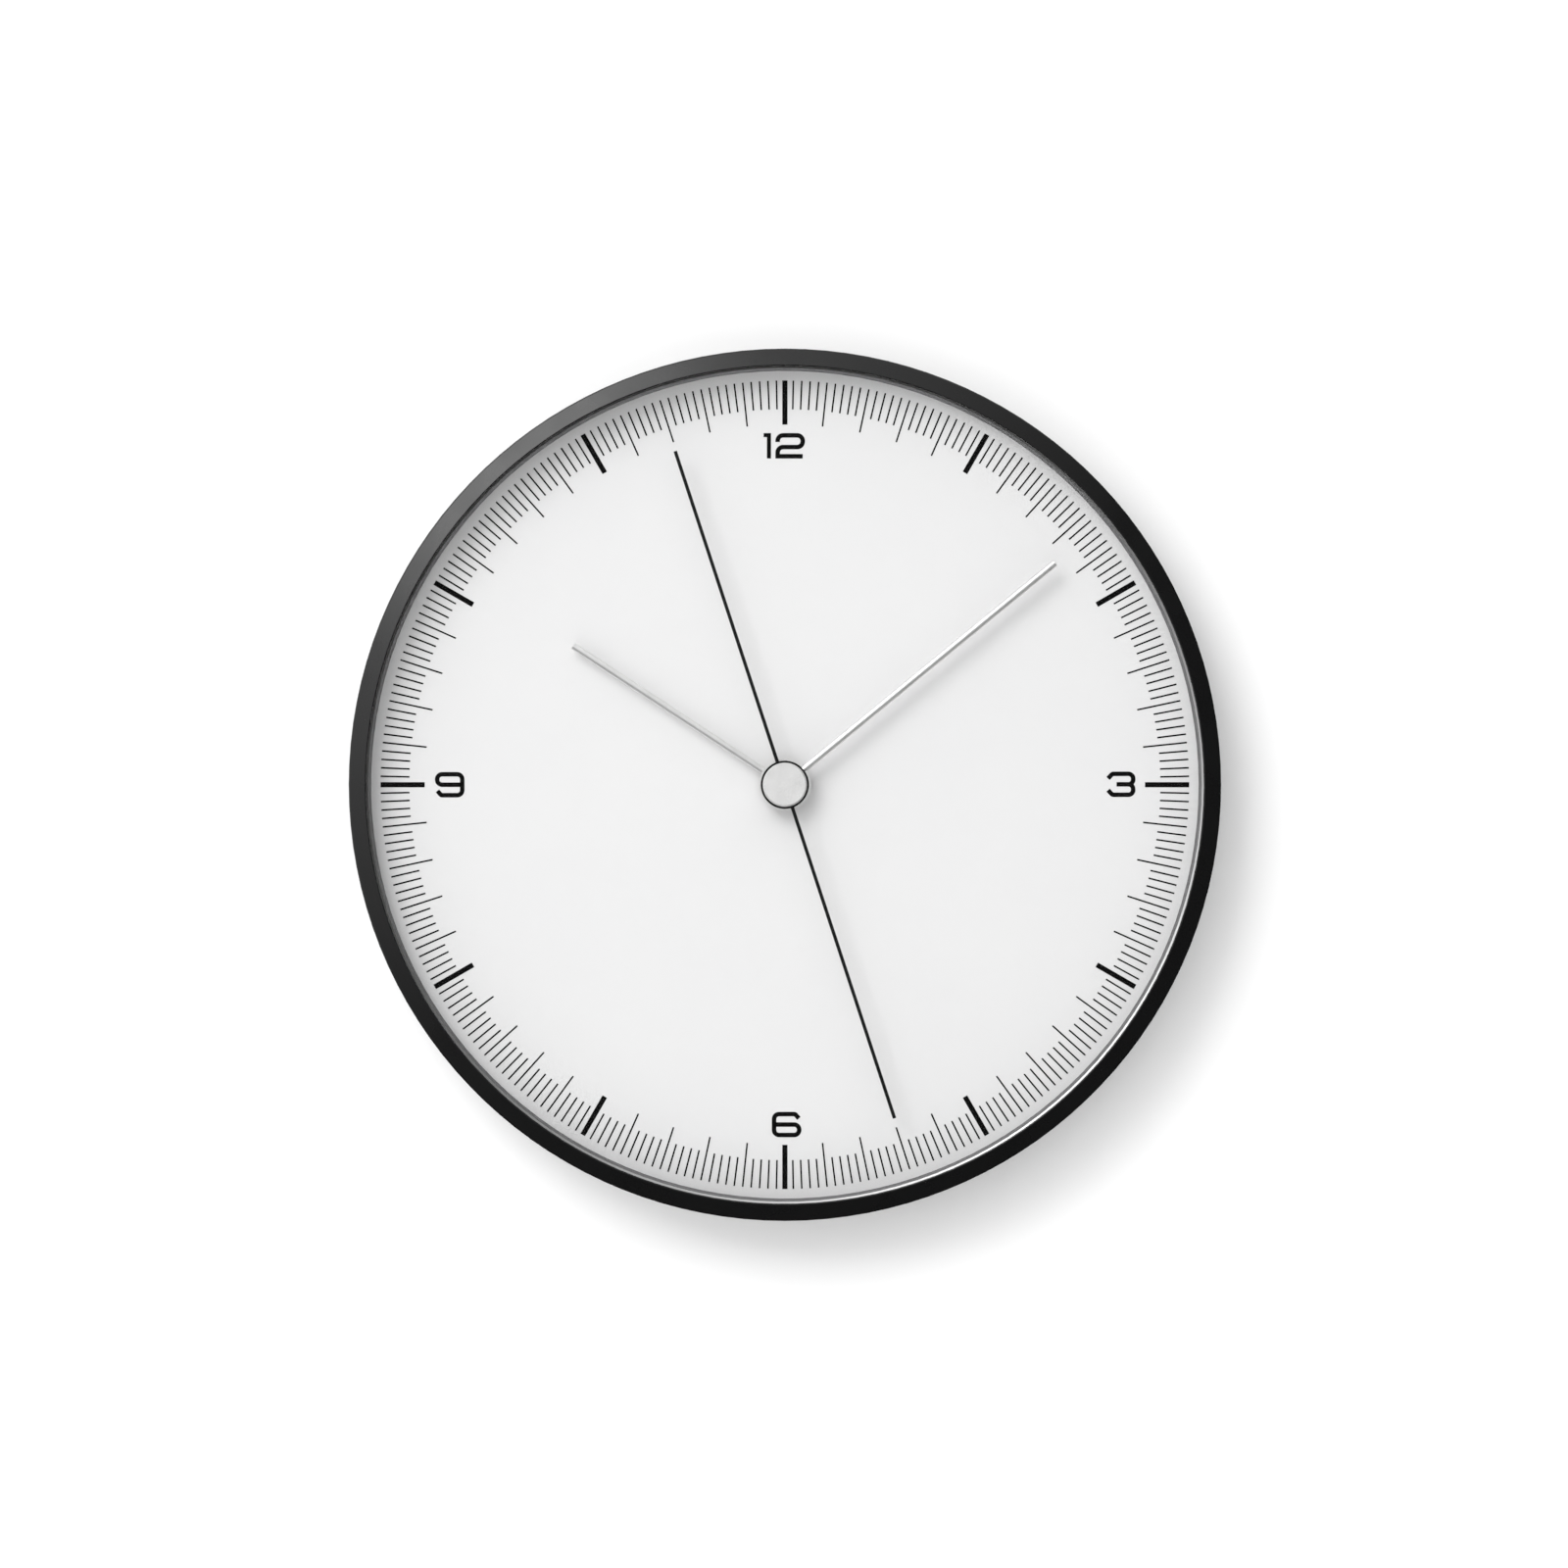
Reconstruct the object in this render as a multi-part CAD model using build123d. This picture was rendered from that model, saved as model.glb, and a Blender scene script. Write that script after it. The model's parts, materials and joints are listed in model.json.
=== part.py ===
from build123d import *
import math
import os

# A quartz wall clock, 300 mm across.
#
# Every piece is drawn in the clock's own frame: x to the right (three o'clock), y up
# (twelve o'clock) and z, called depth, forward from the wall. HANG then stands the
# finished pieces up, so that the wall is the plane Y = 0, the dial looks along -Y and
# twelve o'clock is +Z. The origin is where the hands' axis meets the wall.

# Case, in mm
CASE_RADIUS = 150.0
CASE_BORE = 148.0
CASE_BACK = 0.6
SIGHT_RADIUS = 143.9
FRONT_DEPTH = 32.4
BEZEL_SLOPE = math.tan(math.radians(14))
LIP_BACK = 31.3
GROOVE_RADIUS = 148.5
GROOVE_DEPTHS = (1.5, 3.2)
FIT_GAP = 0.1

# Glass, rehaut ring and dial
GLASS_RADIUS = 146.3
GLASS_BACK = 29.9
DIAL_FRONT = 20.0
DIAL_THICKNESS = 0.8
DIAL_RADIUS = 147.8
REHAUT_RADIUS = 143.45
REHAUT_CHAMFER_WIDTH = 0.8
REHAUT_CHAMFER_DROP = 0.4

# Printing on the dial
INK = 0.05
MARK_OUTER_RADIUS = 140.15
HOUR_MARK_LENGTH = 15.3
HOUR_MARK_WIDTH = 1.78
MINUTE_MARK_LENGTH = 15.3
FIFTH_MARK_LENGTH = 10.0
THIN_MARK_WIDTH = 0.55
NUMERAL_RADII = {"12": 117.5, "3": 116.5, "6": 117.8, "9": 116.2}
DIGIT_WIDTH = 8.7
DIGIT_HEIGHT = 7.25
DIGIT_STROKE = 1.55

# Hands: angles are clockwise from twelve, for twenty-seven seconds past 10:08
HOUR_ANGLE = 303.25
MINUTE_ANGLE = 50.6
SECOND_ANGLE = 161.8
HOUR_REACH = 87.5
HOUR_ROD_RADIUS = 1.25
HOUR_DEPTH = 23.65
MINUTE_REACH = 120.5
MINUTE_ROD_RADIUS = 1.3
MINUTE_DEPTH = 26.5
SECOND_REACH = 120.9
SECOND_WIDTH = 1.2
SECOND_BACK = 28.0
SECOND_THICKNESS = 0.6
HUB_RADIUS = 9.0
HUB_HALF_THICKNESS = 1.0
SECOND_HUB_RADIUS = 8.3
CAP_RADIUS = 7.6
CAP_THICKNESS = 0.9
CAP_BEVEL = 0.5

# Nested shafts that carry the hands, and the bush round them
SECOND_ARBOR = 0.5
CANNON_BORE = 0.55
CANNON_RADIUS = 1.6
HOUR_TUBE_BORE = 1.65
HOUR_TUBE_RADIUS = 2.5
BUSH_BORE = 2.55
BUSH_RADIUS = 4.0
BUSH_TOP = 22.3
NUT_FLATS = 14.0
NUT_THICKNESS = 1.8
WASHER_THICKNESS = 0.4

# Movement housing
HOUSING_HALF = 28.0
HOUSING_WALL = 1.2
HOUSING_FRONT = 18.4
HOUSING_BACK = 2.2
REAR_PLATE_FRONT = 4.0
MID_PLATE = (13.7, 14.3)
DIVIDER_TOP = -10.8
DIVIDER_THICKNESS = 1.0
PIVOT_HOLE_DEPTH = 0.8
PIVOT_GAP = 0.05
PIVOT_RADIUS = 0.4

# Motor and circuit
STATOR_DEPTHS = (5.6, 6.6)
STATOR_POSTS = ((18.5, 16.0), (17.0, -7.0))
BOARD_DEPTHS = (4.8, 5.8)
BOARD_POSTS = ((-22, 17), (-6, 17))

# Gear train: teeth, distances between axes and directions from one axis to the next
PRESSURE_ANGLE = math.radians(20)
TOOTH_SHARE = 0.82
ADDENDUM = 0.8
DEDENDUM = 1.2
SECOND_TEETH = 40
INTERMEDIATE_TEETH = 48
THIRD_TEETH = 60
CENTRE_TEETH = 64
PINION_TEETH = 8
CANNON_TEETH = 12
MOTION_TEETH = 36
MOTION_PINION_TEETH = 10
HOUR_TEETH = 40
SETTING_TEETH = 12
THIRD_DISTANCE = 7.48
SECOND_DISTANCE = 7.44
ROTOR_DISTANCE = 5.6
MOTION_DISTANCE = 6.0
THIRD_DIRECTION = 180.0
INTERMEDIATE_DIRECTION = -35.0
ROTOR_DIRECTION = -30.0
MOTION_DIRECTION = 30.0

# Battery, an AA cell lying along x
CELL_RADIUS = 7.15
CELL_Y = -19.5
CELL_DEPTH = 9.85
CELL_LEFT = -24.6
CELL_RIGHT = 24.4
NUB_RADIUS = 2.75
NUB_LENGTH = 1.2

# Rear cover and the ring between it and the dial
COVER_PLATE = (1.5, 3.5)
BACKING_RING_INNER = 145.6
COVER_RIM_INNER = 142.5
WINDOW_HALF = 28.6
KEYHOLE_Y = 102.0
KEYHOLE_RADIUS = 4.5
KEYHOLE_SLOT_HALF = 2.4
KEYHOLE_SLOT_TOP = 113.0

HANG = Rot(90, 0, 0)
BASE = (Align.CENTER, Align.CENTER, Align.MIN)


def on_circle(distance, direction, start=(0, 0)):
    """The point at a distance and a direction in degrees from another one."""
    angle = math.radians(direction)
    return (start[0] + distance * math.cos(angle), start[1] + distance * math.sin(angle))


THIRD_AXIS = on_circle(THIRD_DISTANCE, THIRD_DIRECTION)
INTERMEDIATE_AXIS = on_circle(SECOND_DISTANCE, INTERMEDIATE_DIRECTION)
ROTOR_AXIS = on_circle(ROTOR_DISTANCE, ROTOR_DIRECTION, INTERMEDIATE_AXIS)
MOTION_AXIS = on_circle(MOTION_DISTANCE, MOTION_DIRECTION)
SETTING_AXIS = on_circle(MOTION_DISTANCE, MOTION_DIRECTION, MOTION_AXIS)
CENTRE_AXIS = (0, 0)


def disc(radius, low, high, at=CENTRE_AXIS, bore=0):
    """A round plate, shaft or tube between two depths."""
    solid = Pos(at[0], at[1], low) * Cylinder(radius, high - low, align=BASE)
    if bore:
        solid -= Pos(at[0], at[1], low) * Cylinder(bore, high - low, align=BASE)
    return solid


def block(x_range, y_range, depths):
    """A rectangular block given by its limits."""
    size = [high - low for low, high in (x_range, y_range, depths)]
    middle = [(low + high) / 2 for low, high in (x_range, y_range, depths)]
    return Pos(*middle) * Box(*size)


def turned(points, sweep=360):
    """A solid of revolution about the hands' axis, from (radius, depth, rounding) points."""
    outline = FilletPolyline(
        *[(radius, depth) for radius, depth, _ in points],
        radius=[rounding for *_, rounding in points],
        close=True,
    )
    return revolve(Plane.XZ * make_face(outline), Axis.Z, sweep)


def clockwise(angle, shape):
    """The shape, drawn pointing at twelve, turned clockwise by an angle in degrees."""
    return Rot(0, 0, -angle) * shape


# Pieces of the case


def case_bezel():
    """The black aluminium ring: a straight side, a sloping face and an inward lip."""
    face_drop = (CASE_RADIUS - SIGHT_RADIUS) * BEZEL_SLOPE
    return turned(
        [
            (CASE_RADIUS, CASE_BACK, 0.4),
            (CASE_RADIUS, FRONT_DEPTH - face_drop, 0.8),
            (SIGHT_RADIUS, FRONT_DEPTH, 0.35),
            (SIGHT_RADIUS, LIP_BACK, 0),
            (CASE_BORE, LIP_BACK, 0),
            (CASE_BORE, GROOVE_DEPTHS[1], 0),
            (GROOVE_RADIUS, GROOVE_DEPTHS[1], 0),
            (GROOVE_RADIUS, GROOVE_DEPTHS[0], 0),
            (CASE_BORE, GROOVE_DEPTHS[0], 0),
            (CASE_BORE, CASE_BACK, 0),
        ]
    )


def glass_lens():
    """The flat glass, held between the lip and the rehaut ring."""
    return disc(GLASS_RADIUS, GLASS_BACK, LIP_BACK)


def glass_gasket():
    """A rubber band round the edge of the glass."""
    return disc(CASE_BORE - FIT_GAP, GLASS_BACK, LIP_BACK, bore=GLASS_RADIUS)


def rehaut_ring():
    """The ring that holds the glass off the dial, with a shallow chamfer under the glass."""
    outer = CASE_BORE - FIT_GAP
    return turned(
        [
            (outer, DIAL_FRONT, 0),
            (outer, GLASS_BACK, 0),
            (REHAUT_RADIUS + REHAUT_CHAMFER_WIDTH, GLASS_BACK, 0),
            (REHAUT_RADIUS, GLASS_BACK - REHAUT_CHAMFER_DROP, 0),
            (REHAUT_RADIUS, DIAL_FRONT, 0),
        ]
    )


def backing_ring():
    """The plastic ring between the rear cover and the dial."""
    back = DIAL_FRONT - DIAL_THICKNESS
    return disc(CASE_BORE - FIT_GAP, COVER_PLATE[1], back, bore=BACKING_RING_INNER)


def rear_cover():
    """The plastic back: a plate with a rim that lies on the wall."""
    outer = CASE_BORE - FIT_GAP
    cover = turned(
        [
            (outer, 0, 0.4),
            (outer, COVER_PLATE[1], 0),
            (0, COVER_PLATE[1], 0),
            (0, COVER_PLATE[0], 0),
            (COVER_RIM_INNER, COVER_PLATE[0], 0),
            (COVER_RIM_INNER, 0, 0.4),
        ]
    )
    window = (-WINDOW_HALF, WINDOW_HALF)
    cover -= block(window, window, COVER_PLATE)
    cover -= disc(KEYHOLE_RADIUS, *COVER_PLATE, at=(0, KEYHOLE_Y))
    slot = (-KEYHOLE_SLOT_HALF, KEYHOLE_SLOT_HALF)
    cover -= block(slot, (KEYHOLE_Y, KEYHOLE_SLOT_TOP), COVER_PLATE)
    cover -= disc(KEYHOLE_SLOT_HALF, *COVER_PLATE, at=(0, KEYHOLE_SLOT_TOP))
    return cover + snap_ribs(outer)


def snap_ribs(outer):
    """Six short ribs that click into the groove inside the case."""
    low, high = GROOVE_DEPTHS[0] + 0.2, GROOVE_DEPTHS[1] - 0.2
    reach = GROOVE_RADIUS - 0.15
    count, sweep = 6, 16
    rib = turned([(outer - 1, low, 0), (reach, high - 0.4, 0), (reach, high, 0), (outer - 1, high, 0)], sweep)
    return Part() + [Rot(0, 0, 360 / count * turn) * rib for turn in range(count)]


# Dial


def dial_plate():
    """The white dial, with a hole for the movement's bush."""
    return disc(DIAL_RADIUS, DIAL_FRONT - DIAL_THICKNESS, DIAL_FRONT, bore=BUSH_RADIUS + 0.2)


def dial_marks(length, width, angles):
    """Printed bars that end on one circle, at the given angles."""
    outer = MARK_OUTER_RADIUS
    bar = block((-width / 2, width / 2), (outer - length, outer), (DIAL_FRONT, DIAL_FRONT + INK))
    return Compound([clockwise(angle, bar).solid() for angle in angles])


def dial_hour_marks():
    """Twelve bold bars."""
    return dial_marks(HOUR_MARK_LENGTH, HOUR_MARK_WIDTH, [30 * hour for hour in range(12)])


def dial_minute_marks():
    """A thin bar at each minute that isn't an hour."""
    angles = [6 * minute for minute in range(60) if minute % 5]
    return dial_marks(MINUTE_MARK_LENGTH, THIN_MARK_WIDTH, angles)


def dial_fifth_marks():
    """Four shorter bars between one minute and the next."""
    angles = [1.2 * fifth for fifth in range(300) if fifth % 5]
    return dial_marks(FIFTH_MARK_LENGTH, THIN_MARK_WIDTH, angles)


def stroke(points, roundings):
    """One pen stroke of a numeral, drawn as a flat face."""
    return trace(FilletPolyline(*points, radius=roundings), DIGIT_STROKE)


def digit_one():
    """A stem with a small flag."""
    stem, flag = 1.4, 2.55
    top = DIGIT_HEIGHT + DIGIT_STROKE / 2
    height = DIGIT_HEIGHT + DIGIT_STROKE
    bar = Pos(flag - stem / 2, top - height / 2) * Rectangle(stem, height)
    return bar + Pos(flag / 2, top - stem / 2) * Rectangle(flag, stem)


def digit_two():
    """A wide two, its bowl open at the left."""
    w, h = DIGIT_WIDTH, DIGIT_HEIGHT
    middle, bend = 0.44 * h, 1.9
    points = [(0, 0.68 * h), (0, h), (w, h), (w, middle), (0, middle), (0, 0), (w, 0)]
    return stroke(points, [bend, bend, bend, bend, 0])


def digit_three():
    """Two bowls that share the middle bar."""
    w, h = DIGIT_WIDTH, DIGIT_HEIGHT
    bend, slant, bar_start = 1.65, 1.5, 2.95
    bowl = [(0, h - slant - 0.1), (slant, h), (w, h), (w, h / 2), (bar_start, h / 2)]
    upper = stroke(bowl, [0.8, bend, bend])
    lower = stroke([(x, h - y) for x, y in bowl], [0.8, bend, bend])
    return upper + lower


def digit_six():
    """A closed lower bowl with a hook above it."""
    w, h = DIGIT_WIDTH, DIGIT_HEIGHT
    bend, slant = 1.75, 1.4
    hook = [(w - 0.1, h - slant - 0.1), (w - slant, h), (0, h), (0, 0), (w, 0), (w, h / 2), (w / 2, h / 2)]
    bar = Pos(w / 4, h / 2) * Rectangle(w / 2, DIGIT_STROKE)
    return stroke(hook, [0.8, bend, bend, bend, bend]) + bar


def numeral(face, centre):
    """The numeral's face, centred on a point and given the thickness of the ink."""
    middle = face.bounding_box().center()
    placed = Pos(centre[0] - middle.X, centre[1] - middle.Y, DIAL_FRONT) * face
    return extrude(placed, INK)


def dial_numerals():
    """12, 3, 6 and 9, upright."""
    digit_gap = 7.23 - 3.15
    twelve = digit_one() + Pos(digit_gap + DIGIT_STROKE / 2, 0) * digit_two()
    pieces = [
        numeral(twelve, (-0.2, NUMERAL_RADII["12"])),
        numeral(digit_three(), (NUMERAL_RADII["3"], 0.15)),
        numeral(digit_six(), (0.6, -NUMERAL_RADII["6"])),
        numeral(Rot(0, 0, 180) * digit_six(), (-NUMERAL_RADII["9"], 0)),
    ]
    return Compound([solid for piece in pieces for solid in piece.solids()])


# Hands


def rod_hand(angle, reach, rod_radius, depth, bore):
    """A hand made of a flat round hub and a plain round rod."""
    hub = disc(HUB_RADIUS, depth - HUB_HALF_THICKNESS, depth + HUB_HALF_THICKNESS)
    start = HUB_RADIUS - 2
    rod = Pos(0, start, depth) * Rot(-90, 0, 0) * Cylinder(rod_radius, reach - start, align=BASE)
    tip_edges = rod.edges().filter_by(GeomType.CIRCLE).sort_by(Axis.Y)[-1:]
    hand = hub + chamfer(tip_edges, 0.12)
    hand -= disc(bore, depth - HUB_HALF_THICKNESS, depth + HUB_HALF_THICKNESS)
    return clockwise(angle, hand)


def hour_hand():
    """The short silver hand, pressed on the hour wheel's tube."""
    return rod_hand(HOUR_ANGLE, HOUR_REACH, HOUR_ROD_RADIUS, HOUR_DEPTH, HOUR_TUBE_RADIUS)


def minute_hand():
    """The long silver hand, pressed on the cannon pinion."""
    return rod_hand(MINUTE_ANGLE, MINUTE_REACH, MINUTE_ROD_RADIUS, MINUTE_DEPTH, CANNON_RADIUS)


def second_hand():
    """The black double-ended hand: one straight strip across a round hub."""
    depths = (SECOND_BACK, SECOND_BACK + SECOND_THICKNESS)
    strip = block((-SECOND_WIDTH / 2, SECOND_WIDTH / 2), (-SECOND_REACH, SECOND_REACH), depths)
    hand = disc(SECOND_HUB_RADIUS, *depths) + strip
    hand -= disc(SECOND_ARBOR, *depths)
    return clockwise(SECOND_ANGLE, hand)


def centre_cap():
    """The bevelled silver cap over the second hand's hub."""
    base = SECOND_BACK + SECOND_THICKNESS
    cap = disc(CAP_RADIUS, base, base + CAP_THICKNESS)
    return chamfer(cap.edges().group_by(Axis.Z)[-1], CAP_BEVEL)


# Fixing of the movement to the dial


def threaded_bush():
    """The brass bush that passes through the dial, with a flange inside the housing."""
    flange_radius = 5.4
    inner_face = HOUSING_FRONT - HOUSING_WALL
    bush = disc(BUSH_RADIUS, inner_face, BUSH_TOP) + disc(flange_radius, inner_face - 0.4, inner_face)
    bush -= disc(BUSH_BORE, inner_face - 0.4, BUSH_TOP)
    return chamfer(bush.edges().group_by(Axis.Z)[-1].sort_by(SortBy.LENGTH)[-1:], 0.2)


def fixing_washer():
    """A brass washer under the nut."""
    return disc(8.0, DIAL_FRONT, DIAL_FRONT + WASHER_THICKNESS, bore=BUSH_RADIUS + 0.15)


def fixing_nut():
    """The hexagon nut that clamps the dial to the movement."""
    base = DIAL_FRONT + WASHER_THICKNESS
    corner_radius = NUT_FLATS / math.sqrt(3)
    hexagon = Pos(0, 0, base) * extrude(RegularPolygon(corner_radius, 6), NUT_THICKNESS)
    return hexagon - disc(BUSH_RADIUS + 0.03, base, base + NUT_THICKNESS)


def rubber_washer():
    """The soft washer between the movement and the back of the dial."""
    return disc(9.5, HOUSING_FRONT, DIAL_FRONT - DIAL_THICKNESS, bore=BUSH_RADIUS + 0.15)


# Gears


def involute(angle):
    """The involute function of a pressure angle."""
    return math.tan(angle) - angle


def gear(teeth, module, depths, at, phase):
    """A spur gear. phase is the direction, in degrees, of the middle of one tooth."""
    pitch_radius = module * teeth / 2
    base_radius = pitch_radius * math.cos(PRESSURE_ANGLE)
    root_radius = pitch_radius - DEDENDUM * module
    tip_radius = pitch_radius + ADDENDUM * module
    half_pitch_angle = TOOTH_SHARE * math.pi / (2 * teeth)

    def half_angle(radius):
        local = math.acos(min(1, base_radius / radius))
        return half_pitch_angle + involute(PRESSURE_ANGLE) - involute(local)

    flank = [(radius, half_angle(radius)) for radius in (root_radius, pitch_radius, tip_radius)]
    tooth = [(radius, -half) for radius, half in flank] + flank[::-1]
    points = []
    for turn in range(teeth):
        middle = math.radians(phase) + 2 * math.pi * turn / teeth
        points += [(radius * math.cos(middle + a), radius * math.sin(middle + a)) for radius, a in tooth]
    face = make_face(Polyline(*points, close=True))
    return Pos(at[0], at[1], depths[0]) * extrude(face, depths[1] - depths[0])


def meshed_phase(phase, teeth, other_teeth, direction):
    """The phase of a gear that meshes with another, which lies back along a direction."""
    offset = (phase - direction) * teeth
    return direction + 180 + (180 - offset) / other_teeth


def pair_module(distance, teeth, other_teeth):
    """The module that puts two meshing gears at a distance."""
    return 2 * distance / (teeth + other_teeth)


ROTOR_MODULE = pair_module(ROTOR_DISTANCE, PINION_TEETH, INTERMEDIATE_TEETH)
SECOND_MODULE = pair_module(SECOND_DISTANCE, PINION_TEETH, SECOND_TEETH)
THIRD_MODULE = pair_module(THIRD_DISTANCE, PINION_TEETH, THIRD_TEETH)
CENTRE_MODULE = pair_module(THIRD_DISTANCE, PINION_TEETH, CENTRE_TEETH)
MOTION_MODULE = pair_module(MOTION_DISTANCE, CANNON_TEETH, MOTION_TEETH)
HOUR_MODULE = pair_module(MOTION_DISTANCE, MOTION_PINION_TEETH, HOUR_TEETH)

REAR_PIVOT = REAR_PLATE_FRONT - PIVOT_HOLE_DEPTH + 0.1
FRONT_PIVOT = MID_PLATE[1] - 0.1


def rotor():
    """The magnet disc of the stepping motor, with its pinion and arbor."""
    magnet = disc(2.6, 4.7, 7.4, ROTOR_AXIS)
    pinion = gear(PINION_TEETH, ROTOR_MODULE, (7.4, 9.2), ROTOR_AXIS, ROTOR_DIRECTION + 180)
    return magnet + pinion + disc(PIVOT_RADIUS, REAR_PIVOT, FRONT_PIVOT, ROTOR_AXIS)


def intermediate_wheel():
    """The wheel driven by the rotor, with the pinion that drives the second wheel."""
    phase = meshed_phase(ROTOR_DIRECTION + 180, PINION_TEETH, INTERMEDIATE_TEETH, ROTOR_DIRECTION + 180)
    wheel = gear(INTERMEDIATE_TEETH, ROTOR_MODULE, (8.0, 8.8), INTERMEDIATE_AXIS, phase)
    pinion_phase = INTERMEDIATE_DIRECTION + 180
    pinion = gear(PINION_TEETH, SECOND_MODULE, (8.8, 10.6), INTERMEDIATE_AXIS, pinion_phase)
    return wheel + pinion + disc(PIVOT_RADIUS, REAR_PIVOT, FRONT_PIVOT, INTERMEDIATE_AXIS)


def second_wheel():
    """The wheel on the long arbor that carries the second hand."""
    pinion_phase = INTERMEDIATE_DIRECTION + 180
    phase = meshed_phase(pinion_phase, PINION_TEETH, SECOND_TEETH, pinion_phase)
    wheel = gear(SECOND_TEETH, SECOND_MODULE, (9.4, 10.2), CENTRE_AXIS, phase)
    pinion = gear(PINION_TEETH, THIRD_MODULE, (10.2, 12.2), CENTRE_AXIS, THIRD_DIRECTION)
    return wheel + pinion + disc(SECOND_ARBOR, REAR_PIVOT, SECOND_BACK + SECOND_THICKNESS)


def third_wheel():
    """The wheel between the second arbor and the centre wheel."""
    phase = meshed_phase(THIRD_DIRECTION, PINION_TEETH, THIRD_TEETH, THIRD_DIRECTION)
    wheel = gear(THIRD_TEETH, THIRD_MODULE, (11.0, 11.8), THIRD_AXIS, phase)
    pinion = gear(PINION_TEETH, CENTRE_MODULE, (11.8, 13.6), THIRD_AXIS, THIRD_DIRECTION + 180)
    return wheel + pinion + disc(PIVOT_RADIUS, REAR_PIVOT, FRONT_PIVOT, THIRD_AXIS)


def centre_wheel():
    """The wheel that turns once an hour and drives the cannon pinion by friction."""
    pinion_phase = THIRD_DIRECTION + 180
    phase = meshed_phase(pinion_phase, PINION_TEETH, CENTRE_TEETH, pinion_phase)
    wheel = gear(CENTRE_TEETH, CENTRE_MODULE, (12.6, 13.4), CENTRE_AXIS, phase)
    wheel += disc(1.2, 13.4, 14.5)
    return wheel - disc(CANNON_BORE, 12.6, 14.5)


def cannon_pinion():
    """The pinion whose tube carries the minute hand."""
    pinion = gear(CANNON_TEETH, MOTION_MODULE, (14.6, 15.4), CENTRE_AXIS, MOTION_DIRECTION)
    top = MINUTE_DEPTH + HUB_HALF_THICKNESS
    pinion += disc(CANNON_RADIUS, 15.4, top)
    return pinion - disc(CANNON_BORE, 14.6, top)


def motion_phase():
    """The phase of the motion wheel, set by the cannon pinion."""
    return meshed_phase(MOTION_DIRECTION, CANNON_TEETH, MOTION_TEETH, MOTION_DIRECTION)


def motion_wheel():
    """The wheel that gears the hour wheel down twelve to one."""
    wheel = gear(MOTION_TEETH, MOTION_MODULE, (14.6, 15.2), MOTION_AXIS, motion_phase())
    pinion_phase = MOTION_DIRECTION + 180
    pinion = gear(MOTION_PINION_TEETH, HOUR_MODULE, (15.2, 16.7), MOTION_AXIS, pinion_phase)
    arbor_front = HOUSING_FRONT - HOUSING_WALL + 0.6
    return wheel + pinion + disc(PIVOT_RADIUS, MID_PLATE[0] + 0.1, arbor_front, MOTION_AXIS)


def hour_wheel():
    """The wheel whose tube carries the hour hand."""
    pinion_phase = MOTION_DIRECTION + 180
    phase = meshed_phase(pinion_phase, MOTION_PINION_TEETH, HOUR_TEETH, pinion_phase)
    wheel = gear(HOUR_TEETH, HOUR_MODULE, (15.7, 16.5), CENTRE_AXIS, phase)
    top = HOUR_DEPTH + HUB_HALF_THICKNESS
    wheel += disc(HOUR_TUBE_RADIUS, 16.5, top)
    return wheel - disc(HOUR_TUBE_BORE, 15.7, top)


def setting_knob():
    """The knob on the back that sets the hands, with its shaft and pinion."""
    knob_radius, groove_radius, grooves = 6.0, 0.45, 24
    knob = disc(knob_radius, 0.6, 2.0, SETTING_AXIS)
    for turn in range(grooves):
        centre = on_circle(knob_radius, 360 / grooves * turn, SETTING_AXIS)
        knob -= disc(groove_radius, 0.6, 2.0, centre)
    phase = meshed_phase(motion_phase(), MOTION_TEETH, SETTING_TEETH, MOTION_DIRECTION)
    pinion = gear(SETTING_TEETH, MOTION_MODULE, (14.4, 15.4), SETTING_AXIS, phase)
    shaft = disc(1.0, 2.0, 14.4, SETTING_AXIS)
    pivot = disc(PIVOT_RADIUS, 15.4, HOUSING_FRONT - HOUSING_WALL + 0.6, SETTING_AXIS)
    return knob + shaft + pinion + pivot


# Movement


def rounded_box(half, y_low, y_high, depths, corner):
    """A box with rounded upright corners."""
    box = block((-half, half), (y_low, y_high), depths)
    return fillet(box.edges().filter_by(Axis.Z), corner)


def movement_front_housing():
    """The housing's front half: gear chamber above, open battery bay below."""
    inner = HOUSING_HALF - HOUSING_WALL
    inner_face = HOUSING_FRONT - HOUSING_WALL
    divider_bottom = DIVIDER_TOP - DIVIDER_THICKNESS
    shell = rounded_box(HOUSING_HALF, -HOUSING_HALF, HOUSING_HALF, (REAR_PLATE_FRONT, HOUSING_FRONT), 3)
    shell -= rounded_box(inner, DIVIDER_TOP, inner, (REAR_PLATE_FRONT, inner_face), 1)
    shell -= rounded_box(inner, -inner, divider_bottom, (REAR_PLATE_FRONT, inner_face), 1)
    shell -= disc(BUSH_RADIUS, inner_face, HOUSING_FRONT)
    for axis in (MOTION_AXIS, SETTING_AXIS):
        shell -= disc(PIVOT_RADIUS + PIVOT_GAP, inner_face, inner_face + 0.7, axis)
    for x in (-1, 1):
        for y in (DIVIDER_TOP + 1.5, inner - 1.5):
            shell += disc(1.5, MID_PLATE[1], inner_face, (x * (inner - 1.6), y))
    return shell


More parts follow.
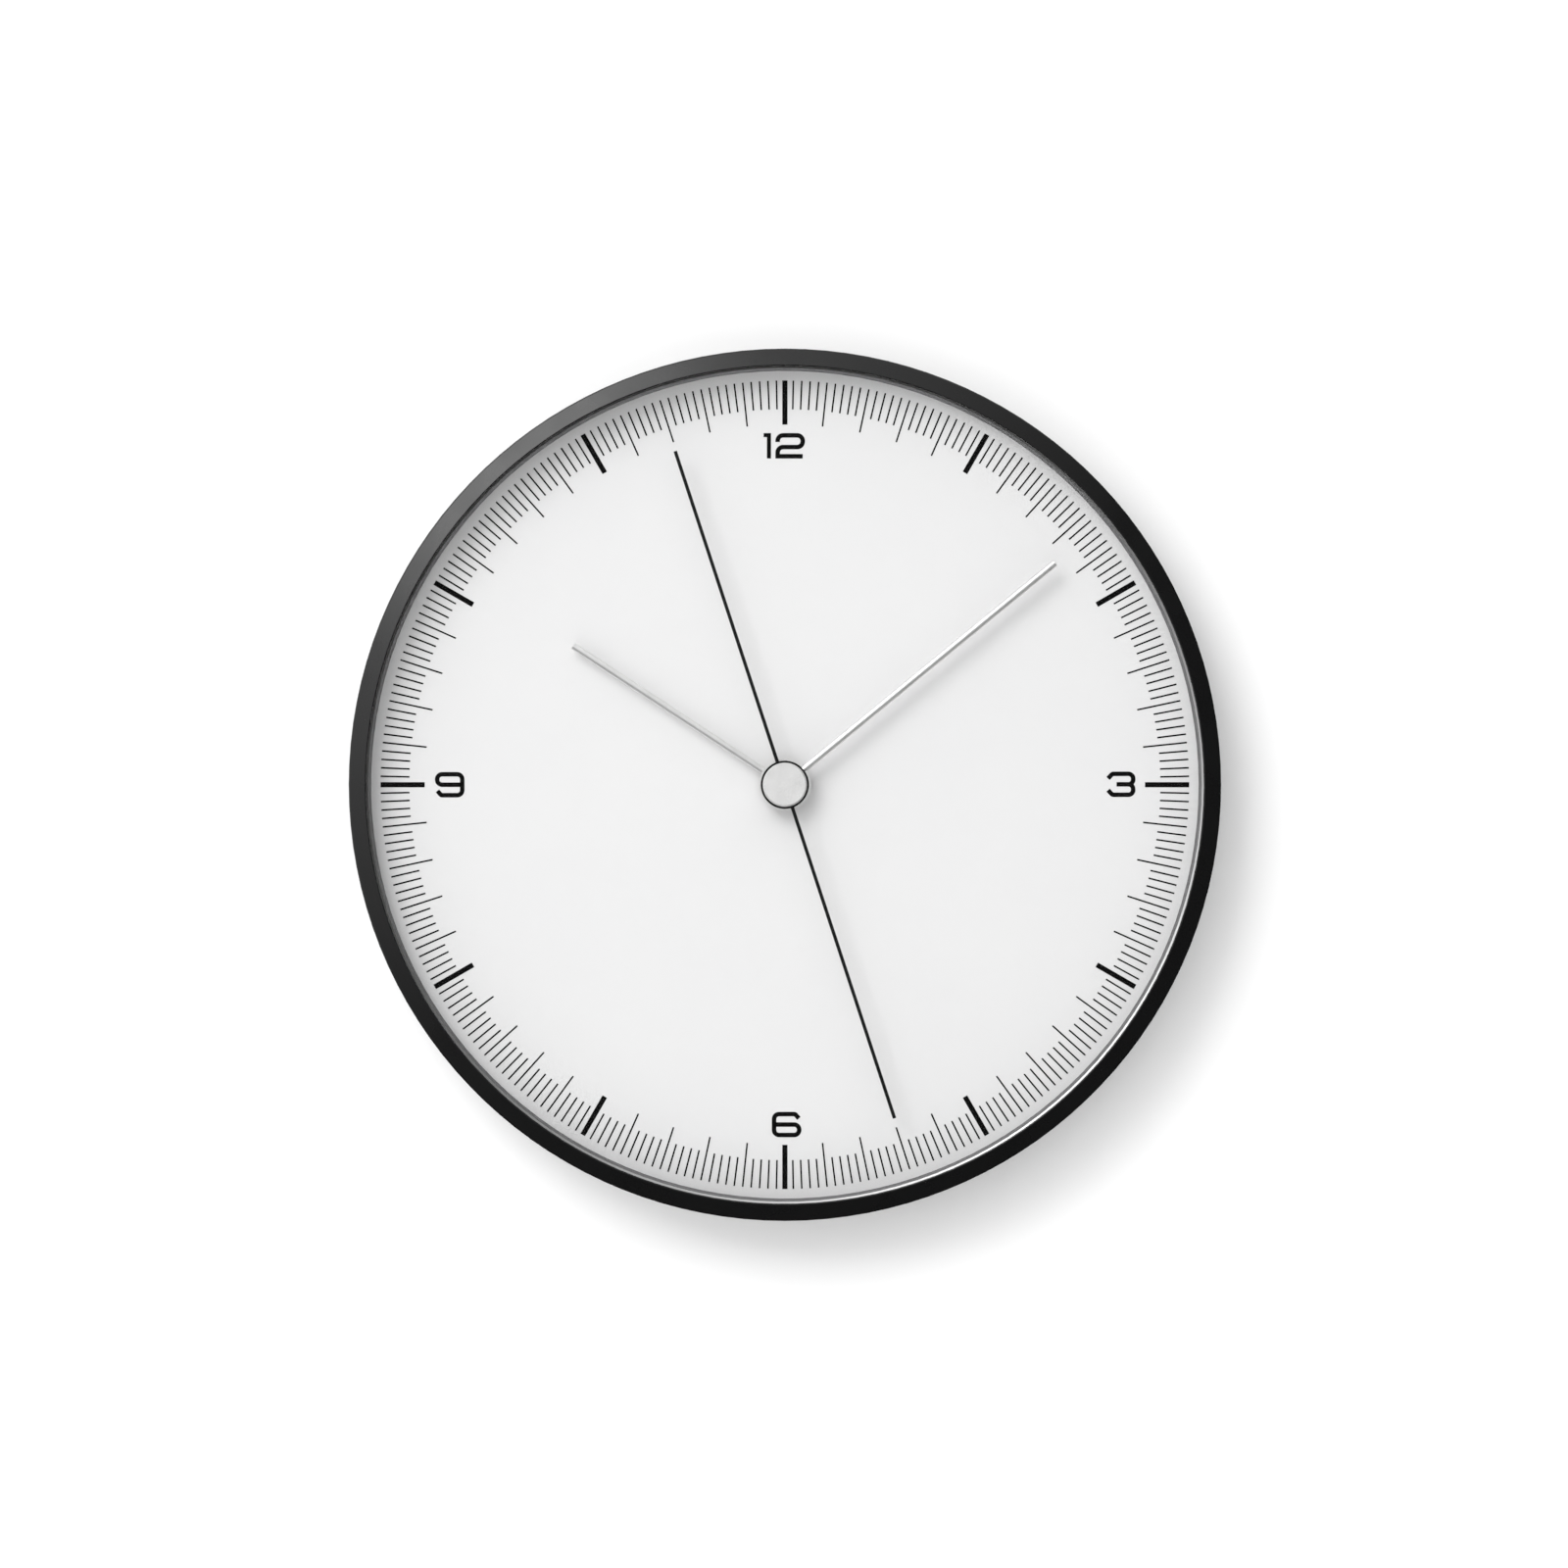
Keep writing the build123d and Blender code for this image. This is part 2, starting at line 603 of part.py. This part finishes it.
def movement_mid_plate():
    """The plate that carries the front pivots of the going train."""
    inner = HOUSING_HALF - HOUSING_WALL - FIT_GAP
    plate = rounded_box(inner, DIVIDER_TOP + FIT_GAP, inner, MID_PLATE, 1.2)
    holes = [(CENTRE_AXIS, 1.2), (SETTING_AXIS, 1.0)]
    holes += [(axis, PIVOT_RADIUS) for axis in (THIRD_AXIS, INTERMEDIATE_AXIS, ROTOR_AXIS, MOTION_AXIS)]
    for axis, radius in holes:
        plate -= disc(radius + PIVOT_GAP, *MID_PLATE, at=axis)
    return plate


def movement_rear_cover():
    """The cover of the gear chamber, with its bearings and mounting posts."""
    bottom = DIVIDER_TOP - DIVIDER_THICKNESS
    cover = block((-HOUSING_HALF, HOUSING_HALF), (bottom, HOUSING_HALF), (HOUSING_BACK, REAR_PLATE_FRONT))
    top_corners = cover.edges().filter_by(Axis.Z).group_by(Axis.Y)[-1]
    cover = fillet(top_corners, 3)
    blind = (REAR_PLATE_FRONT - PIVOT_HOLE_DEPTH, REAR_PLATE_FRONT)
    cover -= disc(SECOND_ARBOR + PIVOT_GAP, *blind)
    for axis in (THIRD_AXIS, INTERMEDIATE_AXIS, ROTOR_AXIS):
        cover -= disc(PIVOT_RADIUS + PIVOT_GAP, *blind, at=axis)
    cover -= disc(1.0 + PIVOT_GAP, HOUSING_BACK, REAR_PLATE_FRONT, SETTING_AXIS)
    for x in (-1, 1):
        for y in (DIVIDER_TOP + 1.5, HOUSING_HALF - HOUSING_WALL - 1.5):
            post_axis = (x * (HOUSING_HALF - HOUSING_WALL - 1.4), y)
            cover += disc(1.2, REAR_PLATE_FRONT, MID_PLATE[0], post_axis)
    for axis in STATOR_POSTS:
        cover += disc(1.2, REAR_PLATE_FRONT, STATOR_DEPTHS[0], axis)
    for axis in BOARD_POSTS:
        cover += disc(1.2, REAR_PLATE_FRONT, BOARD_DEPTHS[0], axis)
    return cover


def stator():
    """The stepping motor's iron: two arms joined round the rotor by thin necks."""
    x, y = ROTOR_AXIS
    right = 24.0
    iron = block((x - 4, right), (y - 3.6, y + 3.6), STATOR_DEPTHS)
    iron += block((17.0, 20.0), (y + 3.5, 17.5), STATOR_DEPTHS)
    iron += block((17.0, right), (14.5, 17.5), STATOR_DEPTHS)
    iron -= disc(3.1, *STATOR_DEPTHS, at=ROTOR_AXIS)
    for side in (-1, 1):
        iron -= disc(0.3, *STATOR_DEPTHS, at=(x, y + side * 3.6))
    return iron


def coil_core():
    """The iron bar inside the coil, lying on both arms of the stator."""
    return block((21.4, 24.0), (-10.2, 17.3), (6.6, 7.6))


def coil_bobbin():
    """The nylon former of the coil."""
    bobbin = block((20.7, 24.7), (-3.0, 14.0), (5.9, 8.3))
    for low in (-3.0, 13.2):
        bobbin += block((20.2, 26.2), (low, low + 0.8), (4.4, 9.8))
    return bobbin - block((21.4, 24.0), (-3.0, 14.0), (6.6, 7.6))


def coil_winding():
    """The copper winding on the bobbin."""
    outer = block((20.4, 25.8), (-2.2, 13.2), (4.8, 9.4))
    outer = fillet(outer.edges().filter_by(Axis.Y), 1.2)
    return outer - block((20.7, 24.7), (-2.2, 13.2), (5.9, 8.3))


def circuit_board():
    """The small board of the oscillator."""
    return block((-26.0, -2.0), (9.6, 24.0), BOARD_DEPTHS)


def driver_chip():
    """The blob of black resin over the chip."""
    chip = disc(2.6, BOARD_DEPTHS[1], BOARD_DEPTHS[1] + 1, (-9, 17))
    return fillet(chip.edges().group_by(Axis.Z)[-1], 0.7)


def quartz_crystal():
    """The crystal's small metal can, lying on the board."""
    can = Pos(-22, 14, 6.9) * Rot(0, 90, 0) * Cylinder(1.05, 6.5, align=BASE)
    return fillet(can.edges(), 0.25)


# Battery


def battery_can():
    """The cell's body, lying along x."""
    length = CELL_RIGHT - CELL_LEFT
    can = Pos(CELL_LEFT, CELL_Y, CELL_DEPTH) * Rot(0, 90, 0) * Cylinder(CELL_RADIUS, length, align=BASE)
    return fillet(can.edges().filter_by(GeomType.CIRCLE), 0.6)


def battery_nub():
    """The positive end."""
    nub = Pos(CELL_RIGHT, CELL_Y, CELL_DEPTH) * Rot(0, 90, 0) * Cylinder(NUB_RADIUS, NUB_LENGTH, align=BASE)
    return fillet(nub.edges().filter_by(GeomType.CIRCLE).sort_by(Axis.X)[-1:], 0.3)


def battery_contact(wall_x, tip_x):
    """A bent strip: a plate against the bay's wall and a tongue that reaches the cell."""
    strip = 0.4
    toward = 1 if tip_x > wall_x else -1
    plate = block(sorted((wall_x, wall_x + toward * strip)), (-24.0, -15.0), (4.6, 15.6))
    bulge = abs(tip_x - wall_x) - strip
    tongue = Pos(wall_x + toward * strip, CELL_Y, CELL_DEPTH) * Rot(0, 90 * toward, 0)
    return plate + tongue * Cone(3.2, 1.6, bulge, align=BASE)


def battery_contact_positive():
    """The contact at the nub."""
    return battery_contact(HOUSING_HALF - HOUSING_WALL, CELL_RIGHT + NUB_LENGTH + 0.1)


def battery_contact_negative():
    """The contact at the flat end."""
    return battery_contact(-(HOUSING_HALF - HOUSING_WALL), CELL_LEFT - 0.1)


PIECES = (
    case_bezel,
    glass_lens,
    glass_gasket,
    rehaut_ring,
    backing_ring,
    rear_cover,
    dial_plate,
    dial_hour_marks,
    dial_minute_marks,
    dial_fifth_marks,
    dial_numerals,
    hour_hand,
    minute_hand,
    second_hand,
    centre_cap,
    threaded_bush,
    fixing_washer,
    fixing_nut,
    rubber_washer,
    rotor,
    intermediate_wheel,
    second_wheel,
    third_wheel,
    centre_wheel,
    cannon_pinion,
    motion_wheel,
    hour_wheel,
    setting_knob,
    movement_front_housing,
    movement_mid_plate,
    movement_rear_cover,
    stator,
    coil_core,
    coil_bobbin,
    coil_winding,
    circuit_board,
    driver_chip,
    quartz_crystal,
    battery_can,
    battery_nub,
    battery_contact_positive,
    battery_contact_negative,
)

os.makedirs("parts", exist_ok=True)
for piece in PIECES:
    export_step(HANG * piece(), f"parts/{piece.__name__}.step")
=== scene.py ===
import json
import math

import bpy
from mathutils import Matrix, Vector


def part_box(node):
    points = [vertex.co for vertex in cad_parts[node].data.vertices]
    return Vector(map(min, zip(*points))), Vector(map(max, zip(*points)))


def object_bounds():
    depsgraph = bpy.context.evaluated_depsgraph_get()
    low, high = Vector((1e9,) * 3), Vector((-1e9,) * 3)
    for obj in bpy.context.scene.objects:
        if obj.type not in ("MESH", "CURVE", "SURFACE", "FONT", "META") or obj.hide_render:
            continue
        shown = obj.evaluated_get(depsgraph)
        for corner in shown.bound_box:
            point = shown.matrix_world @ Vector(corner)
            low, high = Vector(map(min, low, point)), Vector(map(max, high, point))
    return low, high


# The looks of a round quartz wall clock. Lengths are in metres, in the CAD model's frame:
# the wall is the plane Y = 0, the dial faces -Y and twelve o'clock is +Z.

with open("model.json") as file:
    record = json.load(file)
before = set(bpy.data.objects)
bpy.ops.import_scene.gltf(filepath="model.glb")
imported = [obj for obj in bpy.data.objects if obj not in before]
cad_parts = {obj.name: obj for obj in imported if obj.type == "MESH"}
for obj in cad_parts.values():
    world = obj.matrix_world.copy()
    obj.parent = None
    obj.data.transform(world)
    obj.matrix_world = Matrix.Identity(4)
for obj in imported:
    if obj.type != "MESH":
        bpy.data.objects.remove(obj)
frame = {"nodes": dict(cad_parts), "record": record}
nodes = frame["nodes"]
cad_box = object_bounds()

MM = 0.001
FRONT_Y = cad_box[0].y
WALL_GAP = 0.4 * MM
REHAUT_CUT_DEPTH = 0.42 * MM
REHAUT_CUT_BLUR = 0.05 * MM
REHAUT_EDGE_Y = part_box("rehaut_ring")[0].y + REHAUT_CUT_DEPTH


# Building blocks of the materials


class Shader:
    """A material of one Principled shader, with short ways to add grain, wear and relief."""

    def __init__(self, name, colour, roughness, metallic=0.0, specular=0.5):
        self.material = bpy.data.materials.new(name)
        self.material.use_nodes = True
        self.tree = self.material.node_tree
        self.bsdf = self.tree.nodes["Principled BSDF"]
        self.colour = (*colour, 1.0)
        self.bsdf.inputs["Base Color"].default_value = self.colour
        self.bsdf.inputs["Roughness"].default_value = roughness
        self.bsdf.inputs["Metallic"].default_value = metallic
        self.bsdf.inputs["Specular IOR Level"].default_value = specular
        self.roughness = roughness
        self.place = self.tree.nodes.new("ShaderNodeTexCoord").outputs["Object"]

    def node(self, kind, **values):
        """A new node, with its named inputs set or linked."""
        made = self.tree.nodes.new(kind)
        for key, value in values.items():
            socket = made.inputs[key.replace("_", " ")]
            if isinstance(value, bpy.types.NodeSocket):
                self.tree.links.new(value, socket)
            else:
                socket.default_value = value
        return made

    def stretched(self, scale):
        """The object's coordinates, stretched along each axis."""
        mapping = self.node("ShaderNodeMapping", Vector=self.place, Scale=scale)
        return mapping.outputs["Vector"]

    def noise(self, size, detail=3.0, stretch=(1, 1, 1)):
        """Noise whose features are about size across, in metres."""
        where = self.place if stretch == (1, 1, 1) else self.stretched(stretch)
        made = self.node("ShaderNodeTexNoise", Vector=where, Scale=1 / size, Detail=detail)
        return made.outputs["Fac"]

    def remap(self, value, low, high, from_low=0.3, from_high=0.7):
        """value, rescaled and held between low and high."""
        made = self.node("ShaderNodeMapRange", Value=value)
        made.inputs["From Min"].default_value = from_low
        made.inputs["From Max"].default_value = from_high
        made.inputs["To Min"].default_value = low
        made.inputs["To Max"].default_value = high
        return made.outputs["Result"]

    def vary_roughness(self, value, spread):
        """Lets the roughness wander by spread either way."""
        result = self.remap(value, self.roughness - spread, self.roughness + spread)
        self.tree.links.new(result, self.bsdf.inputs["Roughness"])

    def vary_colour(self, value, other, from_low=0.3, from_high=0.7):
        """Blends the base colour towards another one."""
        mix = self.tree.nodes.new("ShaderNodeMix")
        mix.data_type = "RGBA"
        self.tree.links.new(self.remap(value, 0, 1, from_low, from_high), mix.inputs["Factor"])
        mix.inputs["A"].default_value = self.colour
        mix.inputs["B"].default_value = (*other, 1.0)
        self.tree.links.new(mix.outputs["Result"], self.bsdf.inputs["Base Color"])

    def relief(self, value, height):
        """Bump of a real height in metres."""
        bump = self.node("ShaderNodeBump", Height=value, Distance=height, Strength=1.0)
        self.tree.links.new(bump.outputs["Normal"], self.bsdf.inputs["Normal"])


def brighter(colour, factor):
    """The colour, scaled and kept within range."""
    return tuple(min(1.0, channel * factor) for channel in colour)


# Materials


def satin_black():
    """Anodised aluminium: very fine bead-blast grain with faint handling marks."""
    made = Shader("bezel_black", (0.003, 0.003, 0.0031), 0.28, specular=0.4)
    made.vary_roughness(made.noise(18 * MM, 4.0), 0.04)
    made.vary_colour(made.noise(0.25 * MM, 2.0), (0.005, 0.005, 0.0052))
    made.relief(made.noise(0.18 * MM, 2.0), 0.004 * MM)
    return made.material


def clear_glass():
    """A thin flat pane: its outer side mirrors a little, and light goes straight through it."""
    made = bpy.data.materials.new("clear_glass")
    made.use_nodes = True
    tree = made.node_tree
    tree.nodes.clear()
    out = tree.nodes.new("ShaderNodeOutputMaterial")
    mix = tree.nodes.new("ShaderNodeMixShader")
    clear = tree.nodes.new("ShaderNodeBsdfTransparent")
    clear.inputs["Color"].default_value = (0.997, 0.997, 0.997, 1)
    gloss = tree.nodes.new("ShaderNodeBsdfGlossy")
    gloss.inputs["Roughness"].default_value = 0.02
    fresnel = tree.nodes.new("ShaderNodeFresnel")
    fresnel.inputs["IOR"].default_value = 1.12
    outer = tree.nodes.new("ShaderNodeMix")
    inner_side = tree.nodes.new("ShaderNodeNewGeometry").outputs["Backfacing"]
    tree.links.new(inner_side, outer.inputs["Factor"])
    tree.links.new(fresnel.outputs["Fac"], outer.inputs["A"])
    outer.inputs["B"].default_value = 0
    tree.links.new(outer.outputs["Result"], mix.inputs["Fac"])
    tree.links.new(clear.outputs["BSDF"], mix.inputs[1])
    tree.links.new(gloss.outputs["BSDF"], mix.inputs[2])
    tree.links.new(mix.outputs["Shader"], out.inputs["Surface"])
    return made


def dial_white():
    """Matt white paint with a barely visible grain."""
    made = Shader("dial_white", (0.66, 0.66, 0.66), 0.62, specular=0.3)
    made.vary_colour(made.noise(40 * MM, 3.0), (0.652, 0.652, 0.654))
    made.vary_roughness(made.noise(2 * MM, 3.0), 0.05)
    made.relief(made.noise(0.35 * MM, 3.0), 0.002 * MM)
    return made.material


def print_black():
    """Screen-printed ink."""
    made = Shader("print_black", (0.0012, 0.0012, 0.0012), 0.5, specular=0.05)
    made.vary_colour(made.noise(0.3 * MM, 3.0), (0.003, 0.003, 0.003))
    made.relief(made.noise(0.12 * MM, 2.0), 0.003 * MM)
    return made.material


def metal(name, colour, roughness, grain=0.15 * MM, stretch=(1, 1, 1), metallic=1.0):
    """Bare or plated metal with fine lines or grain."""
    made = Shader(name, colour, roughness, metallic)
    lines = made.noise(grain, 3.0, stretch)
    made.vary_roughness(lines, 0.07)
    made.vary_colour(made.noise(4 * MM, 3.0), brighter(colour, 0.9))
    made.relief(lines, 0.003 * MM)
    return made.material


def plastic(name, colour, roughness, grain=0.4 * MM, depth=0.008 * MM, specular=0.5):
    """Moulded plastic with a fine spark-eroded texture."""
    made = Shader(name, colour, roughness, specular=specular)
    texture = made.noise(grain, 3.0)
    made.vary_roughness(made.noise(6 * MM, 3.0), 0.06)
    made.vary_colour(texture, brighter(colour, 1.25))
    made.relief(texture, depth)
    return made.material


def rehaut_grey():
    """A matt dark grey wall whose chamfer, just under the glass, is cut bright."""
    made = Shader("rehaut_grey", (0.17, 0.17, 0.172), 0.42, specular=0.0)
    depth = made.node("ShaderNodeSeparateXYZ", Vector=made.place).outputs["Y"]
    edge = (REHAUT_EDGE_Y + REHAUT_CUT_BLUR, REHAUT_EDGE_Y - REHAUT_CUT_BLUR)
    made.vary_colour(depth, (0.39, 0.39, 0.39), *edge)
    made.tree.links.new(made.remap(depth, 0, 1, *edge), made.bsdf.inputs["Metallic"])
    made.vary_roughness(made.noise(1.5 * MM, 4.0), 0.04)
    made.relief(made.noise(0.3 * MM, 2.0), 0.004 * MM)
    return made.material


MATERIALS = {
    "bezel_black": satin_black(),
    "clear_glass": clear_glass(),
    "rehaut_grey": rehaut_grey(),
    "dial_white": dial_white(),
    "print_black": print_black(),
    "seal_rubber": plastic("seal_rubber", (0.02, 0.02, 0.02), 0.7),
    "cover_plastic": plastic("cover_plastic", (0.024, 0.024, 0.026), 0.46, 0.8 * MM, 0.04 * MM),
    "hand_silver": metal("hand_silver", (0.8, 0.8, 0.795), 0.3, 0.08 * MM, metallic=0.7),
    "hand_black": plastic("hand_black", (0.004, 0.004, 0.0042), 0.42, 0.15 * MM, 0.003 * MM, 0.15),
    "brass": metal("brass", (0.72, 0.53, 0.25), 0.3),
    "nut_steel": metal("nut_steel", (0.56, 0.57, 0.58), 0.3),
    "wheel_nylon": plastic("wheel_nylon", (0.78, 0.77, 0.72), 0.42),
    "magnet": metal("magnet", (0.2, 0.2, 0.21), 0.45),
    "knob_plastic": plastic("knob_plastic", (0.62, 0.62, 0.6), 0.45),
    "housing_plastic": plastic("housing_plastic", (0.03, 0.03, 0.033), 0.46, 0.4 * MM, 0.015 * MM),
    "mid_plate_plastic": plastic("mid_plate_plastic", (0.5, 0.51, 0.51), 0.5),
    "motor_iron": metal("motor_iron", (0.5, 0.5, 0.5), 0.4),
    "bobbin_nylon": plastic("bobbin_nylon", (0.75, 0.72, 0.62), 0.45),
    "copper_wire": metal("copper_wire", (0.66, 0.3, 0.14), 0.3, 0.12 * MM, (1, 1, 6)),
    "board_green": plastic("board_green", (0.03, 0.16, 0.07), 0.4),
    "resin_black": plastic("resin_black", (0.012, 0.012, 0.012), 0.25),
    "crystal_can": metal("crystal_can", (0.68, 0.68, 0.68), 0.22),
    "cell_sleeve": plastic("cell_sleeve", (0.12, 0.13, 0.15), 0.24, 5 * MM, 0.004 * MM),
    "cell_metal": metal("cell_metal", (0.7, 0.7, 0.69), 0.25),
    "contact_metal": metal("contact_metal", (0.72, 0.71, 0.68), 0.28),
}

for part in frame["record"]["subparts"]:
    mesh = nodes[part["node"]].data
    mesh.materials.clear()
    mesh.materials.append(MATERIALS[part["material_slot"]])


# Stage: a pale wall that only the camera sees, and only from in front, and a pale floor


def pale(name, colour, one_sided):
    """A matt pale surface with a faint unevenness. A one-sided one vanishes from behind."""
    made = Shader(name, colour, 0.8, specular=0.2)
    made.vary_colour(made.noise(0.3, 3.0), brighter(colour, 0.995))
    if one_sided:
        tree = made.tree
        out = tree.nodes["Material Output"]
        mix = tree.nodes.new("ShaderNodeMixShader")
        clear = tree.nodes.new("ShaderNodeBsdfTransparent")
        side = tree.nodes.new("ShaderNodeNewGeometry").outputs["Backfacing"]
        tree.links.new(side, mix.inputs["Fac"])
        tree.links.new(made.bsdf.outputs["BSDF"], mix.inputs[1])
        tree.links.new(clear.outputs["BSDF"], mix.inputs[2])
        tree.links.new(mix.outputs["Shader"], out.inputs["Surface"])
    return made.material


def stage_plane(name, corners, material):
    """A flat four-cornered piece of the stage."""
    mesh = bpy.data.meshes.new(name)
    mesh.from_pydata(corners, [], [(0, 1, 2, 3)])
    mesh.materials.append(material)
    plane = bpy.data.objects.new(name, mesh)
    bpy.context.scene.collection.objects.link(plane)
    return plane


REACH = 4.0
FLOOR_Z = -0.75
wall_corners = [
    (-REACH, WALL_GAP, FLOOR_Z),
    (REACH, WALL_GAP, FLOOR_Z),
    (REACH, WALL_GAP, REACH),
    (-REACH, WALL_GAP, REACH),
]
floor_corners = [
    (-REACH, -REACH, FLOOR_Z),
    (REACH, -REACH, FLOOR_Z),
    (REACH, REACH, FLOOR_Z),
    (-REACH, REACH, FLOOR_Z),
]
wall = stage_plane("stage_wall", wall_corners, pale("stage_wall", (0.93, 0.93, 0.93), True))
floor = stage_plane("stage_floor", floor_corners, pale("stage_floor", (0.9, 0.9, 0.9), False))
floor.visible_glossy = False
wall.visible_diffuse = False
wall.visible_glossy = False
wall.visible_transmission = False
wall.visible_shadow = False


# Light


KEY_FROM_NORMAL = math.radians(43)
KEY_FROM_TWELVE = math.radians(-39)
KEY_DISTANCE = 2.2
KEY_SIZE = 1.15
KEY_POWER = 23.3
WORLD_DIM = 0.051
WORLD_BRIGHT = 1.27
WORLD_BACKDROP = 0.9
BROAD_RAMP = (-0.4, 0.3)
NARROW_RAMP = (-0.05, 0.5)
PANEL_RAMP = (0.93, 1.03)


def soft_light(name, direction):
    """A square area light that looks at the dial."""
    data = bpy.data.lights.new(name, "AREA")
    data.size = KEY_SIZE
    data.energy = KEY_POWER
    light = bpy.data.objects.new(name, data)
    light.location = direction.normalized() * KEY_DISTANCE
    light.rotation_mode = "QUATERNION"
    light.rotation_quaternion = (-light.location).to_track_quat("-Z", "Y")
    bpy.context.scene.collection.objects.link(light)


key_side = Vector((math.sin(KEY_FROM_TWELVE), 0, math.cos(KEY_FROM_TWELVE)))
key_direction = key_side * math.sin(KEY_FROM_NORMAL) + Vector((0, -math.cos(KEY_FROM_NORMAL), 0))
soft_light("key", key_direction)


def soft_world(bright_side):
    """A plain studio that is brighter on one side, with a panel in front for the reflections.

    The camera itself sees an even backdrop.
    """
    made = bpy.data.worlds.new("soft_world")
    made.use_nodes = True
    tree = made.node_tree
    direction = tree.nodes.new("ShaderNodeTexCoord").outputs["Generated"]
    ray = tree.nodes.new("ShaderNodeLightPath")

    def towards(axis):
        """The cosine between a direction and an axis."""
        cosine = tree.nodes.new("ShaderNodeVectorMath")
        cosine.operation = "DOT_PRODUCT"
        cosine.inputs[1].default_value = axis
        tree.links.new(direction, cosine.inputs[0])
        return cosine.outputs["Value"]

    def ramp(facing, start, end):
        """Brightness that climbs as facing goes from start to end."""
        climb = tree.nodes.new("ShaderNodeMapRange")
        climb.interpolation_type = "SMOOTHSTEP"
        climb.inputs["From Min"].default_value = start
        climb.inputs["From Max"].default_value = end
        climb.inputs["To Min"].default_value = WORLD_DIM
        climb.inputs["To Max"].default_value = WORLD_BRIGHT
        tree.links.new(facing, climb.inputs["Value"])
        return climb.outputs["Result"]

    def choose(kind, otherwise, value):
        """value for one kind of ray, and otherwise for the rest."""
        pick = tree.nodes.new("ShaderNodeMix")
        tree.links.new(ray.outputs[kind], pick.inputs["Factor"])
        tree.links.new(otherwise, pick.inputs["A"])
        tree.links.new(value, pick.inputs["B"])
        return pick.outputs["Result"]

    even = tree.nodes.new("ShaderNodeValue").outputs["Value"]
    even.default_value = WORLD_BACKDROP
    broad_side = ramp(towards(bright_side), *BROAD_RAMP)
    narrow_side = ramp(towards(bright_side), *NARROW_RAMP)
    front_panel = ramp(towards((0, -1, 0)), *PANEL_RAMP)
    reflected = tree.nodes.new("ShaderNodeMath")
    reflected.operation = "MAXIMUM"
    tree.links.new(narrow_side, reflected.inputs[0])
    tree.links.new(front_panel, reflected.inputs[1])
    strength = choose("Is Glossy Ray", broad_side, reflected.outputs["Value"])
    strength = choose("Is Camera Ray", strength, even)
    tree.links.new(strength, tree.nodes["Background"].inputs["Strength"])
    tree.nodes["Background"].inputs["Color"].default_value = (1, 1, 1, 1)
    return made


bpy.context.scene.world = soft_world(key_side)
bpy.context.scene.view_settings.view_transform = "Standard"


# Camera: straight on, with the clock a hair to the right of the middle


CAMERA_DISTANCE = 1.25
VIEW_WIDTH = 0.5383
OFF_CENTRE = (-0.3 * MM, 0.26 * MM)

camera_data = bpy.data.cameras.new("camera")
camera_data.sensor_width = 36
camera_data.angle = 2 * math.atan(VIEW_WIDTH / 2 / CAMERA_DISTANCE)
camera_data.clip_start = 0.05
camera = bpy.data.objects.new("camera", camera_data)
camera.location = (OFF_CENTRE[0], FRONT_Y - CAMERA_DISTANCE, OFF_CENTRE[1])
camera.rotation_euler = (math.pi / 2, 0, 0)
bpy.context.scene.collection.objects.link(camera)
bpy.context.scene.camera = camera
